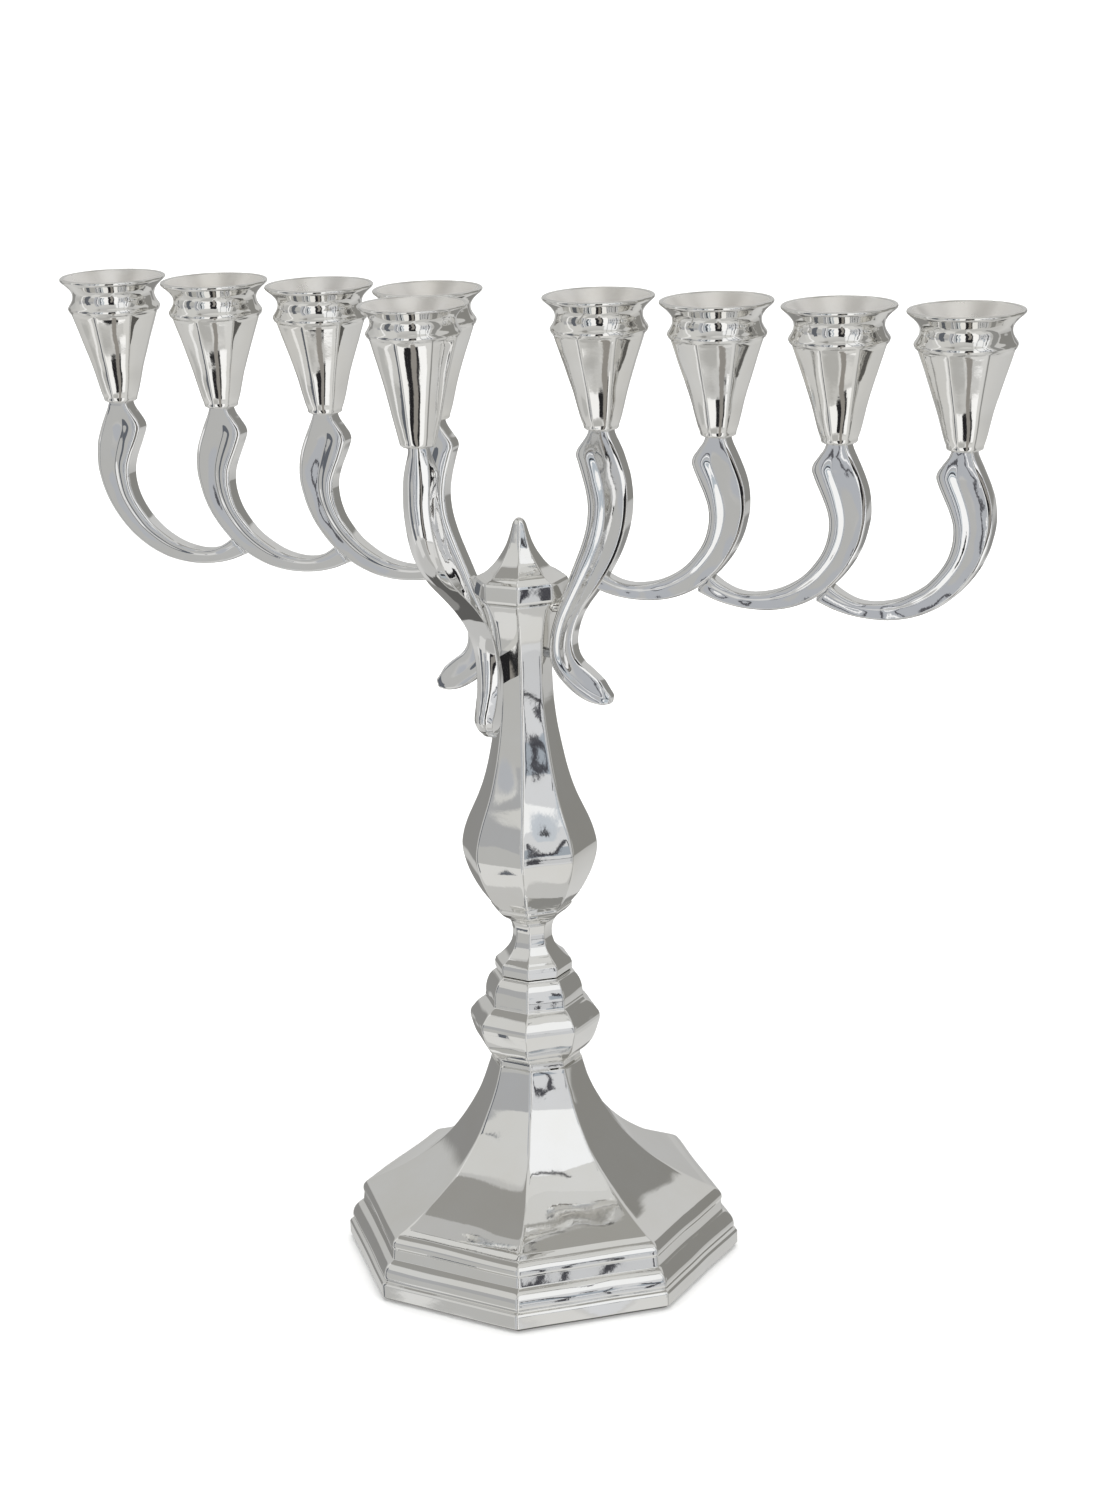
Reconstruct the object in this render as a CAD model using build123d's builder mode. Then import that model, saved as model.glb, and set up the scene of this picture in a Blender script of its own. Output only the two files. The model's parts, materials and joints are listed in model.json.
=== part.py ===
from build123d import *
import os

os.makedirs("parts", exist_ok=True)

# Nine-light candelabrum of cast and polished silver-coloured metal.
# Millimetres, +Z up, origin on the stem's axis at floor level.
# The two wings lie in the XZ plane; the ninth arm reaches forward, towards -Y.

# ---------------------------------------------------------------- driving sizes
FOOT_R = 70.4            # circumradius of the octagonal foot (130 mm across flats)
FOOT_CLOCK = 17.9        # turn of each octagon about the stem, degrees
KNOP_CLOCK = 16.8
COLUMN_CLOCK = 19.4
FINIAL_CLOCK = 20.9
SIDES = 8

FOOT_LIFT = 0.8          # rim of the foot above the floor, the felt fills it
FELT_TOP = 2.0
PLATE_TOP = 4.0
BALLAST_TOP = 15.0

FOOT_TOP = 72.5          # seams between the stacked castings
KNOP_TOP = 105.5
SPOOL_TOP = 126.5
COLUMN_TOP = 240.0

ROD_R = 3.0
ROD_LOW = 53.0
ROD_HIGH = 249.0
ROD_HOLE_R = 3.1

CUP_X = (31.0, 72.1, 113.2, 154.3)   # candle cups on each wing
CUP_SEAT = 298.8         # where an arm's neck ends
CUP_GAP = 0.15           # seam between neck and cup
ARM_T = 7.0              # thickness of the wing arms
ARM_EDGE = 1.0           # bevel round their faces
SHAMASH_Y = -70.5
SHAMASH_SEAT = 304.8
SHAMASH_T = 9.6
SHAMASH_EDGE = 1.2

CANDLE_R = 10.0          # candle bore of the wing cups
CANDLE_DEPTH = 12.0
SHAMASH_CANDLE_R = 9.5
STUD_R = 2.0
STUD_LOW = -8.0          # stud ends, measured from the neck's top
STUD_HIGH = 7.0
BELLY_Z = 221.0          # where the arms are pinned to the column
LUG_Z = 237.6
WEB_X0, WEB_X1 = -3.6, -1.0          # web behind the forward arm
WEB_IN, WEB_OUT = 6.0, 26.0
WEB_Z0, WEB_Z1 = 213.0, 223.0

# ---------------------------------------------------------------- stem profiles
# (circumradius, height) of each octagonal section, from the floor upwards
FOOT_MOULD = [
    (70.1, FOOT_LIFT), (FOOT_R, 1.6), (FOOT_R, 6.1), (69.9, 6.8), (68.9, 7.4),
    (69.1, 8.4), (68.9, 10.2), (68.1, 12.0), (66.8, 13.4), (65.5, 14.3),
    (65.1, 15.0), (64.7, 18.2), (65.0, 18.9), (64.8, 20.3), (63.9, 21.6),
    (62.4, 22.7), (60.6, 23.4), (59.2, 24.0),
]
FOOT_SKIRT = [
    (59.2, 24.0), (53.2, 27.0), (48.0, 30.0), (43.4, 33.0), (39.3, 36.0),
    (35.8, 39.0), (32.8, 42.0), (30.2, 45.0), (27.9, 48.0), (25.8, 51.0),
    (23.9, 54.0), (22.2, 57.0), (20.6, 60.0), (19.3, 63.0), (18.1, 66.0),
    (17.1, 69.0), (16.3, 71.5), (16.1, FOOT_TOP),
]
FOOT_CAVITY = [
    (62.6, PLATE_TOP), (61.4, 13.0), (58.6, 19.8), (54.0, 22.8), (45.0, 27.6),
    (36.0, 34.2), (29.4, 41.6), (23.6, 49.6), (19.0, 57.2), (16.2, 62.6),
]
KNOP = [
    (15.9, FOOT_TOP), (15.6, 74.6), (16.0, 75.4), (17.4, 76.4), (19.8, 79.2),
    (21.4, 82.2), (22.6, 85.6), (23.0, 87.2), (23.1, 88.8), (22.7, 90.2),
    (21.0, 92.2), (18.6, 94.6), (17.3, 95.6), (17.2, 96.2), (17.0, 99.2),
    (16.4, 101.8), (15.4, 103.9), (13.9, 105.0), (13.1, KNOP_TOP),
]
SPOOL = [
    (13.1, KNOP_TOP), (13.6, 106.4), (13.7, 108.6), (13.2, 109.9), (11.4, 111.4),
    (9.3, 113.4), (7.9, 115.4), (7.15, 117.6), (6.95, 119.6), (7.1, 121.4),
    (7.6, 123.4), (8.7, 125.2), (10.2, SPOOL_TOP),
]
COLUMN_FOOT = [
    (10.2, SPOOL_TOP), (11.8, 127.6), (13.3, 129.0), (14.0, 129.9), (14.3, 130.6),
]
COLUMN_BODY = [
    (14.3, 130.6), (16.6, 133.6), (18.5, 136.6), (20.2, 139.8), (21.7, 143.2),
    (22.8, 146.6), (23.5, 150.0), (23.6, 152.4), (23.2, 155.0), (22.3, 158.4),
    (20.9, 162.2), (19.2, 166.0), (17.4, 170.0), (15.8, 174.2), (14.4, 178.6),
    (13.2, 183.2), (12.2, 188.2), (11.3, 193.6), (10.6, 199.6), (10.1, 206.0),
    (9.8, 213.0), (9.9, 220.0), (10.5, 226.6), (11.6, 232.2), (13.1, 236.6),
    (14.9, COLUMN_TOP),
]
FINIAL_BAND = [
    (14.9, COLUMN_TOP), (15.9, 240.6), (16.1, 241.4), (16.1, 246.0), (15.7, 246.9),
    (14.6, 247.5),
]
FINIAL_SPIRE = [
    (14.6, 247.5), (12.3, 248.6), (10.2, 250.4), (8.5, 252.2), (7.0, 254.2),
    (5.7, 256.2), (4.6, 258.4), (3.7, 260.8), (3.0, 263.0), (2.4, 265.2),
]

# Candle cup, measured from the top of the arm's neck.
# Cone: (circumradius, height) of its octagonal sections.
CUP_CONE = [
    (4.3, 0.15), (5.2, 1.0), (5.7, 2.6), (6.6, 6.2), (7.5, 9.8), (8.8, 14.0),
    (10.6, 19.4), (12.5, 24.6), (14.1, 28.8), (15.3, 32.2),
]
# Collar and bowl: (radius, height)
CUP_OUT = [(15.6, 33.0), (15.5, 33.9), (14.3, 35.9), (14.0, 37.3), (14.6, 39.3), (16.4, 41.8), (17.6, 43.0)]
CUP_RIM = (17.8, 43.6, 17.5, 44.05, 16.9, 44.05)
CUP_IN = [(16.3, 43.6), (13.6, 40.8), (11.6, 38.6), (10.5, 36.9)]

SHAM_CONE = [
    (4.6, 0.15), (5.6, 1.2), (6.1, 3.0), (7.1, 8.0), (8.1, 13.4), (9.5, 19.6),
    (11.2, 25.6), (12.8, 31.0), (14.0, 34.6),
]
SHAM_OUT = [(14.4, 35.4), (14.3, 36.2), (13.4, 37.7), (13.2, 38.8), (13.8, 40.6), (15.4, 42.6), (16.6, 43.6)]
SHAM_RIM = (16.9, 44.0, 16.6, 44.4, 16.1, 44.4)
SHAM_IN = [(15.6, 44.0), (13.0, 41.4), (11.0, 39.4), (10.0, 37.8)]

# ---------------------------------------------------------------- arm outlines
# C-shaped arm of the wings, x measured from its own cup
C_NECK_IN = [(-3.6, CUP_SEAT), (-4.6, 296.6), (-6.4, 294.2), (-8.3, 291.6)]
C_THORN = [(-8.3, 291.6), (-8.6, 290.2), (-8.0, 288.0)]
C_INNER = [
    (-8.0, 288.0), (-6.2, 284.0), (-4.4, 280.0), (-3.1, 276.0), (-2.8, 272.0),
    (-3.4, 268.0), (-5.0, 263.6), (-7.8, 259.4), (-11.5, 255.4), (-16.0, 252.2),
    (-21.0, 249.7), (-26.0, 248.3), (-31.0, 247.8), (-35.5, 248.4),
    (-39.6, 250.2), (-44.5, 253.6),
]
C_OUTER = [
    (-53.5, 249.0), (-48.0, 246.4), (-42.0, 244.7), (-36.0, 243.3), (-30.0, 242.7),
    (-24.0, 242.8), (-17.5, 243.9), (-11.5, 246.0), (-6.0, 249.2), (-1.5, 252.8),
    (2.6, 257.4), (5.7, 262.2), (8.0, 267.4), (9.4, 272.5), (10.0, 277.2),
    (9.8, 281.8), (8.7, 286.5), (7.0, 290.8), (5.2, 294.8), (3.6, CUP_SEAT),
]
# S-shaped arm beside the column, x measured from the stem's axis
S_NECK_IN = [(27.4, CUP_SEAT), (26.4, 296.6), (24.6, 294.2), (22.7, 291.6)]
S_THORN = [(22.7, 291.6), (22.4, 290.2), (23.0, 288.0)]
S_INNER = [
    (23.0, 288.0), (24.4, 283.6), (25.5, 279.4), (26.2, 275.0), (26.2, 270.5),
    (25.5, 265.8), (23.9, 260.6), (21.7, 255.2), (19.1, 249.2), (16.5, 243.0),
    (14.2, 237.0), (12.3, 231.5), (11.1, 226.5), (10.7, 221.5), (11.3, 217.8),
    (13.2, 214.3), (16.4, 210.8), (20.1, 207.8), (24.5, 205.7), (29.0, 204.8),
    (32.2, 205.3),
]
S_TIP = [(32.2, 205.3), (33.4, 206.4), (33.1, 208.0)]
S_OUTER = [
    (33.1, 208.0), (31.0, 211.0), (28.9, 213.8), (26.4, 215.9), (23.6, 217.8),
    (21.3, 220.0), (20.0, 223.0), (19.7, 226.4), (20.3, 230.4), (21.8, 234.6),
    (24.0, 238.4), (27.0, 242.4), (30.4, 247.0), (33.4, 251.8), (35.9, 256.4),
    (38.0, 261.4), (39.6, 266.4), (40.6, 271.4), (40.9, 276.4), (40.6, 281.4),
    (39.6, 286.4), (38.0, 290.8), (36.2, 294.8), (34.6, CUP_SEAT),
]
# Forward arm, first number is the distance in front of the stem's axis
F_NECK_IN = [(66.9, SHAMASH_SEAT), (65.9, 302.2), (64.0, 299.0), (61.7, 295.4)]
F_THORN = [(61.7, 295.4), (61.2, 293.6), (61.7, 291.4)]
F_INNER = [
    (61.7, 291.4), (62.5, 286.4), (61.6, 281.0), (59.2, 275.2), (55.4, 268.4),
    (50.8, 261.6), (45.4, 254.4), (39.6, 247.0), (33.6, 239.6), (28.2, 232.0),
    (24.0, 224.6), (21.6, 217.6), (21.6, 211.0), (22.8, 205.4), (22.8, 200.8),
]
F_TIP = [(22.8, 200.8), (23.8, 198.6), (26.4, 197.8)]
F_OUTER = [
    (26.4, 197.8), (30.6, 199.4), (33.8, 202.2), (34.8, 205.4), (33.2, 209.4),
    (31.0, 213.6), (30.0, 218.6), (30.4, 224.0), (31.6, 229.6), (33.8, 235.0),
    (37.8, 240.4), (43.6, 245.6), (50.2, 250.4), (57.2, 255.2), (63.6, 260.4),
    (68.4, 265.4), (72.0, 270.6), (74.6, 276.6), (75.9, 283.0), (76.1, 289.4),
    (75.4, 296.0), (74.2, 301.0), (73.9, SHAMASH_SEAT),
]


def octagons(sections, clock, smooth=False, x=0.0, y=0.0, z0=0.0, mode=Mode.ADD):
    """Octagonal sections stacked on the vertical through (x, y) and joined up."""
    rings = []
    for radius, height in sections:
        with BuildSketch(Plane((x, y, z0 + height))) as ring:
            RegularPolygon(radius=radius, side_count=SIDES, rotation=clock)
        rings.append(ring.sketch)
    loft(sections=rings, ruled=not smooth, mode=mode)


# ================================================================ foot and stem
with BuildPart() as foot_shell:
    octagons(FOOT_MOULD, FOOT_CLOCK)
    octagons(FOOT_SKIRT, FOOT_CLOCK)
    # recess for the felt and the closing plate
    with BuildSketch(Plane.XY.offset(FOOT_LIFT)):
        RegularPolygon(radius=67.0, side_count=SIDES, rotation=FOOT_CLOCK)
    extrude(amount=PLATE_TOP - FOOT_LIFT, mode=Mode.SUBTRACT)
    octagons(FOOT_CAVITY, FOOT_CLOCK, mode=Mode.SUBTRACT)
    # bosses for the plate's screws
    with BuildSketch(Plane.XY.offset(PLATE_TOP)):
        with PolarLocations(50.5, 4, start_angle=FOOT_CLOCK + 22.5):
            Circle(4.2)
    extrude(amount=20.4)
    with BuildSketch(Plane.XY.offset(PLATE_TOP)):
        with PolarLocations(50.5, 4, start_angle=FOOT_CLOCK + 22.5):
            Circle(1.5)
    extrude(amount=11.0, mode=Mode.SUBTRACT)
    # hole for the tie rod
    with BuildSketch(Plane.XY.offset(60.0)):
        Circle(ROD_HOLE_R)
    extrude(amount=20.0, mode=Mode.SUBTRACT)
foot_shell.part.label = "foot_shell"
export_step(foot_shell.part, "parts/foot_shell.step")

with BuildPart() as base_plate:
    with BuildSketch(Plane.XY.offset(FELT_TOP)):
        RegularPolygon(radius=66.6, side_count=SIDES, rotation=FOOT_CLOCK)
    extrude(amount=PLATE_TOP - FELT_TOP)
    with BuildSketch(Plane.XY.offset(FELT_TOP)):
        with PolarLocations(50.5, 4, start_angle=FOOT_CLOCK + 22.5):
            Circle(1.6)
    extrude(amount=PLATE_TOP - FELT_TOP, mode=Mode.SUBTRACT)
    # countersinks on the underside
    with PolarLocations(50.5, 4, start_angle=FOOT_CLOCK + 22.5):
        with Locations((0, 0, FELT_TOP + 0.7)):
            Cone(bottom_radius=3.0, top_radius=1.6, height=1.4, mode=Mode.SUBTRACT)
base_plate.part.label = "base_plate"
export_step(base_plate.part, "parts/base_plate.step")

with BuildPart() as base_screws:
    with PolarLocations(50.5, 4, start_angle=FOOT_CLOCK + 22.5):
        with Locations((0, 0, FELT_TOP + 0.7)):
            Cone(bottom_radius=2.9, top_radius=1.5, height=1.4)
        with Locations((0, 0, FELT_TOP + 6.2)):
            Cylinder(radius=1.45, height=9.6)
base_screws.part.label = "base_screws"
export_step(base_screws.part, "parts/base_screws.step")

with BuildPart() as felt_pad:
    with BuildSketch():
        RegularPolygon(radius=66.4, side_count=SIDES, rotation=FOOT_CLOCK)
    extrude(amount=FELT_TOP)
felt_pad.part.label = "felt_pad"
export_step(felt_pad.part, "parts/felt_pad.step")

with BuildPart() as ballast:
    with BuildSketch(Plane.XY.offset(PLATE_TOP)):
        Circle(44.0)
    extrude(amount=BALLAST_TOP - PLATE_TOP)
    with BuildSketch(Plane.XY.offset(PLATE_TOP)):
        Circle(11.0)
    extrude(amount=BALLAST_TOP - PLATE_TOP, mode=Mode.SUBTRACT)
    fillet(ballast.edges().filter_by(GeomType.CIRCLE).sort_by(Axis.Z)[-2:], radius=1.5)
ballast.part.label = "ballast"
export_step(ballast.part, "parts/ballast.step")

with BuildPart() as knop:
    octagons(KNOP, KNOP_CLOCK)
    with Locations((0, 0, (FOOT_TOP + KNOP_TOP) / 2)):
        Cylinder(radius=ROD_HOLE_R, height=KNOP_TOP - FOOT_TOP + 2, mode=Mode.SUBTRACT)
knop.part.label = "knop"
export_step(knop.part, "parts/knop.step")

with BuildPart() as spool:
    octagons(SPOOL, KNOP_CLOCK)
    with Locations((0, 0, (KNOP_TOP + SPOOL_TOP) / 2)):
        Cylinder(radius=ROD_HOLE_R, height=SPOOL_TOP - KNOP_TOP + 2, mode=Mode.SUBTRACT)
spool.part.label = "spool"
export_step(spool.part, "parts/spool.step")

with BuildPart() as column:
    octagons(COLUMN_FOOT, COLUMN_CLOCK)
    octagons(COLUMN_BODY, COLUMN_CLOCK, smooth=True)
    with Locations((0, 0, (SPOOL_TOP + COLUMN_TOP) / 2)):
        Cylinder(radius=ROD_HOLE_R, height=COLUMN_TOP - SPOOL_TOP + 2, mode=Mode.SUBTRACT)
    # sockets for the pins that hold the arms
    with BuildSketch(Plane.YZ.offset(5.0)):
        with Locations((0, BELLY_Z)):
            Circle(1.65)
    extrude(amount=10.0, mode=Mode.SUBTRACT)
    with BuildSketch(Plane.YZ.offset(-15.0)):
        with Locations((0, BELLY_Z)):
            Circle(1.65)
    extrude(amount=10.0, mode=Mode.SUBTRACT)
column.part.label = "column"
export_step(column.part, "parts/column.step")

with BuildPart() as finial:
    octagons(FINIAL_BAND, FINIAL_CLOCK)
    octagons(FINIAL_SPIRE, FINIAL_CLOCK, smooth=True)
    # rounded point
    with Locations((0, 0, 265.2)):
        Sphere(1.95)
    # threaded socket that draws the stem together
    with Locations((0, 0, (COLUMN_TOP + 250.0) / 2)):
        Cylinder(radius=ROD_R + 0.06, height=250.0 - COLUMN_TOP, mode=Mode.SUBTRACT)
finial.part.label = "finial"
export_step(finial.part, "parts/finial.step")

with BuildPart() as tie_rod:
    with BuildSketch(Plane.XY.offset(ROD_LOW)):
        Circle(ROD_R)
    extrude(amount=ROD_HIGH - ROD_LOW)
    chamfer(tie_rod.edges().filter_by(GeomType.CIRCLE), length=0.5)
tie_rod.part.label = "tie_rod"
export_step(tie_rod.part, "parts/tie_rod.step")

with BuildPart() as rod_washer:
    with BuildSketch(Plane.XY.offset(61.1)):
        Circle(8.0)
        Circle(ROD_HOLE_R, mode=Mode.SUBTRACT)
    extrude(amount=1.5)
rod_washer.part.label = "rod_washer"
export_step(rod_washer.part, "parts/rod_washer.step")

with BuildPart() as rod_nut:
    with BuildSketch(Plane.XY.offset(56.1)):
        RegularPolygon(radius=5.77, side_count=6)
        Circle(ROD_R + 0.02, mode=Mode.SUBTRACT)
    extrude(amount=5.0)
rod_nut.part.label = "rod_nut"
export_step(rod_nut.part, "parts/rod_nut.step")


# ================================================================ right wing
def arm_slab(neck, thorn, inner, tip, outer, shift, plane, thick, edge):
    """One arm cast flat: its outline, given thickness about the plane and bevelled."""
    def moved(points):
        return [(px + shift, pz) for px, pz in points]
    with BuildSketch(plane) as outline:
        with BuildLine():
            Spline(*moved(neck))
            Spline(*moved(thorn))
            Spline(*moved(inner))
            if tip:
                Spline(*moved(tip))
            else:
                Line(moved(inner)[-1], moved(outer)[0])
            Spline(*moved(outer))
            Line(moved(outer)[-1], moved(neck)[0])
        make_face()
    extrude(to_extrude=outline.sketch, amount=thick / 2, both=True)


with BuildPart() as right_arm_1:
    arm_slab(S_NECK_IN, S_THORN, S_INNER, S_TIP, S_OUTER, 0.0, Plane.XZ, ARM_T, ARM_EDGE)
    chamfer(
        right_arm_1.faces().filter_by(Axis.Y).edges().filter_by(lambda e: e.center().Z < CUP_SEAT - 0.01),
        length=ARM_EDGE,
    )
    with Locations((CUP_X[0], 0, CUP_SEAT + STUD_LOW / 2)):
        Cylinder(radius=STUD_R, height=-STUD_LOW, mode=Mode.SUBTRACT)
    # socket for the pin from the column
    with BuildSketch(Plane.YZ.offset(9.0)):
        with Locations((0, BELLY_Z)):
            Circle(1.65)
    extrude(amount=7.0, mode=Mode.SUBTRACT)
right_arm_1.part.label = "right_arm_1"
export_step(right_arm_1.part, "parts/right_arm_1.step")

with BuildPart() as right_arm_2:
    arm_slab(C_NECK_IN, C_THORN, C_INNER, None, C_OUTER, CUP_X[1], Plane.XZ, ARM_T, ARM_EDGE)
    chamfer(
        right_arm_2.faces().filter_by(Axis.Y).edges().filter_by(lambda e: e.center().Z < CUP_SEAT - 0.01),
        length=ARM_EDGE,
    )
    with Locations((CUP_X[1], 0, CUP_SEAT + STUD_LOW / 2)):
        Cylinder(radius=STUD_R, height=-STUD_LOW, mode=Mode.SUBTRACT)
    add(right_arm_1.part, mode=Mode.SUBTRACT)
    # the arm stops inside the joint and doesn't come out behind it
    with Locations((15.0, 0, 250.0)):
        Box(20.0, 20.0, 40.0, mode=Mode.SUBTRACT)
right_arm_2.part.label = "right_arm_2"
export_step(right_arm_2.part, "parts/right_arm_2.step")

with BuildPart() as right_arm_3:
    arm_slab(C_NECK_IN, C_THORN, C_INNER, None, C_OUTER, CUP_X[2], Plane.XZ, ARM_T, ARM_EDGE)
    chamfer(
        right_arm_3.faces().filter_by(Axis.Y).edges().filter_by(lambda e: e.center().Z < CUP_SEAT - 0.01),
        length=ARM_EDGE,
    )
    with Locations((CUP_X[2], 0, CUP_SEAT + STUD_LOW / 2)):
        Cylinder(radius=STUD_R, height=-STUD_LOW, mode=Mode.SUBTRACT)
    add(right_arm_2.part, mode=Mode.SUBTRACT)
right_arm_3.part.label = "right_arm_3"
export_step(right_arm_3.part, "parts/right_arm_3.step")

with BuildPart() as right_arm_4:
    arm_slab(C_NECK_IN, C_THORN, C_INNER, None, C_OUTER, CUP_X[3], Plane.XZ, ARM_T, ARM_EDGE)
    chamfer(
        right_arm_4.faces().filter_by(Axis.Y).edges().filter_by(lambda e: e.center().Z < CUP_SEAT - 0.01),
        length=ARM_EDGE,
    )
    with Locations((CUP_X[3], 0, CUP_SEAT + STUD_LOW / 2)):
        Cylinder(radius=STUD_R, height=-STUD_LOW, mode=Mode.SUBTRACT)
    add(right_arm_3.part, mode=Mode.SUBTRACT)
right_arm_4.part.label = "right_arm_4"
export_step(right_arm_4.part, "parts/right_arm_4.step")

# ================================================================ left wing
with BuildPart() as left_arm_1:
    mirror(right_arm_1.part, about=Plane.YZ)
left_arm_1.part.label = "left_arm_1"
export_step(left_arm_1.part, "parts/left_arm_1.step")

with BuildPart() as left_arm_2:
    mirror(right_arm_2.part, about=Plane.YZ)
left_arm_2.part.label = "left_arm_2"
export_step(left_arm_2.part, "parts/left_arm_2.step")

with BuildPart() as left_arm_3:
    mirror(right_arm_3.part, about=Plane.YZ)
left_arm_3.part.label = "left_arm_3"
export_step(left_arm_3.part, "parts/left_arm_3.step")

with BuildPart() as left_arm_4:
    mirror(right_arm_4.part, about=Plane.YZ)
left_arm_4.part.label = "left_arm_4"
export_step(left_arm_4.part, "parts/left_arm_4.step")

# ================================================================ forward arm
# local x of this plane runs towards -Y, local y runs up
FORWARD = Plane(origin=(0, 0, 0), x_dir=(0, -1, 0), z_dir=(-1, 0, 0))

with BuildPart() as shamash_arm:
    arm_slab(F_NECK_IN, F_THORN, F_INNER, F_TIP, F_OUTER, 0.0, FORWARD, SHAMASH_T, SHAMASH_EDGE)
    chamfer(
        shamash_arm.faces().filter_by(Axis.X).edges().filter_by(lambda e: e.center().Z < SHAMASH_SEAT - 0.01),
        length=SHAMASH_EDGE,
    )
    with Locations((0, SHAMASH_Y, SHAMASH_SEAT + STUD_LOW / 2)):
        Cylinder(radius=STUD_R, height=-STUD_LOW, mode=Mode.SUBTRACT)
shamash_arm.part.label = "shamash_arm"
export_step(shamash_arm.part, "parts/shamash_arm.step")

# ================================================================ fixings of the arms
with BuildPart() as wing_lugs:
    # cast bead between the top of the column and each wing
    with BuildSketch(Plane.YZ.offset(9.0)):
        with Locations((0, LUG_Z)):
            Circle(2.1)
    extrude(amount=7.0)
    mirror(about=Plane.YZ)
    add(column.part, mode=Mode.SUBTRACT)
    add(right_arm_1.part, mode=Mode.SUBTRACT)
    add(left_arm_1.part, mode=Mode.SUBTRACT)
wing_lugs.part.label = "wing_lugs"
export_step(wing_lugs.part, "parts/wing_lugs.step")

with BuildPart() as shamash_lug:
    # upright web between the front of the column and the back of the forward arm
    with Locations(((WEB_X0 + WEB_X1) / 2, -(WEB_IN + WEB_OUT) / 2, (WEB_Z0 + WEB_Z1) / 2)):
        Box(WEB_X1 - WEB_X0, WEB_OUT - WEB_IN, WEB_Z1 - WEB_Z0)
    add(column.part, mode=Mode.SUBTRACT)
    add(shamash_arm.part, mode=Mode.SUBTRACT)
shamash_lug.part.label = "shamash_lug"
export_step(shamash_lug.part, "parts/shamash_lug.step")

with BuildPart() as arm_pins:
    with BuildSketch(Plane.YZ.offset(5.2)):
        with Locations((0, BELLY_Z)):
            Circle(1.6)
    extrude(amount=10.4)
    mirror(about=Plane.YZ)
arm_pins.part.label = "arm_pins"
export_step(arm_pins.part, "parts/arm_pins.step")

with BuildPart() as cup_studs:
    for x, y, seat in (
        [(sx * cx, 0.0, CUP_SEAT) for cx in CUP_X for sx in (1, -1)]
        + [(0.0, SHAMASH_Y, SHAMASH_SEAT)]
    ):
        with BuildSketch(Plane((x, y, seat + STUD_LOW + 0.2))):
            Circle(STUD_R)
        extrude(amount=STUD_HIGH - STUD_LOW - 0.2)
    chamfer(cup_studs.edges().filter_by(GeomType.CIRCLE).filter_by(lambda e: e.center().Z > CUP_SEAT), length=0.4)
cup_studs.part.label = "cup_studs"
export_step(cup_studs.part, "parts/cup_studs.step")


# ================================================================ candle cups
def cup_body(x, y, seat, clock, cone, outer, rim, inner, bore_r):
    """A candle cup: faceted cone, round collar, flared rim, candle bore and stud hole."""
    base = Plane(origin=(x, y, seat), x_dir=(1, 0, 0), z_dir=(0, -1, 0))
    octagons(cone, clock, smooth=True, x=x, y=y, z0=seat)
    bore_top = inner[-1][1] - 0.6
    with BuildSketch(base) as half:
        with BuildLine():
            Polyline((0, cone[-1][1] - 0.6), (cone[-1][0] - 0.5, cone[-1][1] - 0.6), outer[0])
            Spline(*outer)
            Line(outer[-1], (rim[0], rim[1]))
            Line((rim[0], rim[1]), (rim[2], rim[3]))
            Line((rim[2], rim[3]), (rim[4], rim[5]))
            Line((rim[4], rim[5]), inner[0])
            Spline(*inner)
            Polyline(inner[-1], (bore_r, bore_top), (0, bore_top), (0, cone[-1][1] - 0.6))
        make_face()
    revolve(profiles=half.sketch, axis=Axis((x, y, 0), (0, 0, 1)))
    with Locations((x, y, seat + bore_top - CANDLE_DEPTH / 2)):
        Cylinder(radius=bore_r, height=CANDLE_DEPTH, mode=Mode.SUBTRACT)
    # threaded hole that takes the arm's stud
    with Locations((x, y, seat + (STUD_HIGH + 0.5) / 2)):
        Cylinder(radius=STUD_R + 0.06, height=STUD_HIGH + 0.5, mode=Mode.SUBTRACT)


for number, cup_x in enumerate(CUP_X, start=1):
    with BuildPart() as right_cup:
        cup_body(cup_x, 0.0, CUP_SEAT, -2.5, CUP_CONE, CUP_OUT, CUP_RIM, CUP_IN, CANDLE_R)
    right_cup.part.label = f"right_cup_{number}"
    export_step(right_cup.part, f"parts/right_cup_{number}.step")

    with BuildPart() as left_cup:
        cup_body(-cup_x, 0.0, CUP_SEAT, 7.5, CUP_CONE, CUP_OUT, CUP_RIM, CUP_IN, CANDLE_R)
    left_cup.part.label = f"left_cup_{number}"
    export_step(left_cup.part, f"parts/left_cup_{number}.step")

with BuildPart() as shamash_cup:
    cup_body(0.0, SHAMASH_Y, SHAMASH_SEAT, 5.0, SHAM_CONE, SHAM_OUT, SHAM_RIM, SHAM_IN, SHAMASH_CANDLE_R)
shamash_cup.part.label = "shamash_cup"
export_step(shamash_cup.part, "parts/shamash_cup.step")
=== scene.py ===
import json
import math
import bpy
import bmesh
import numpy as np
from mathutils import Matrix, Vector


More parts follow.
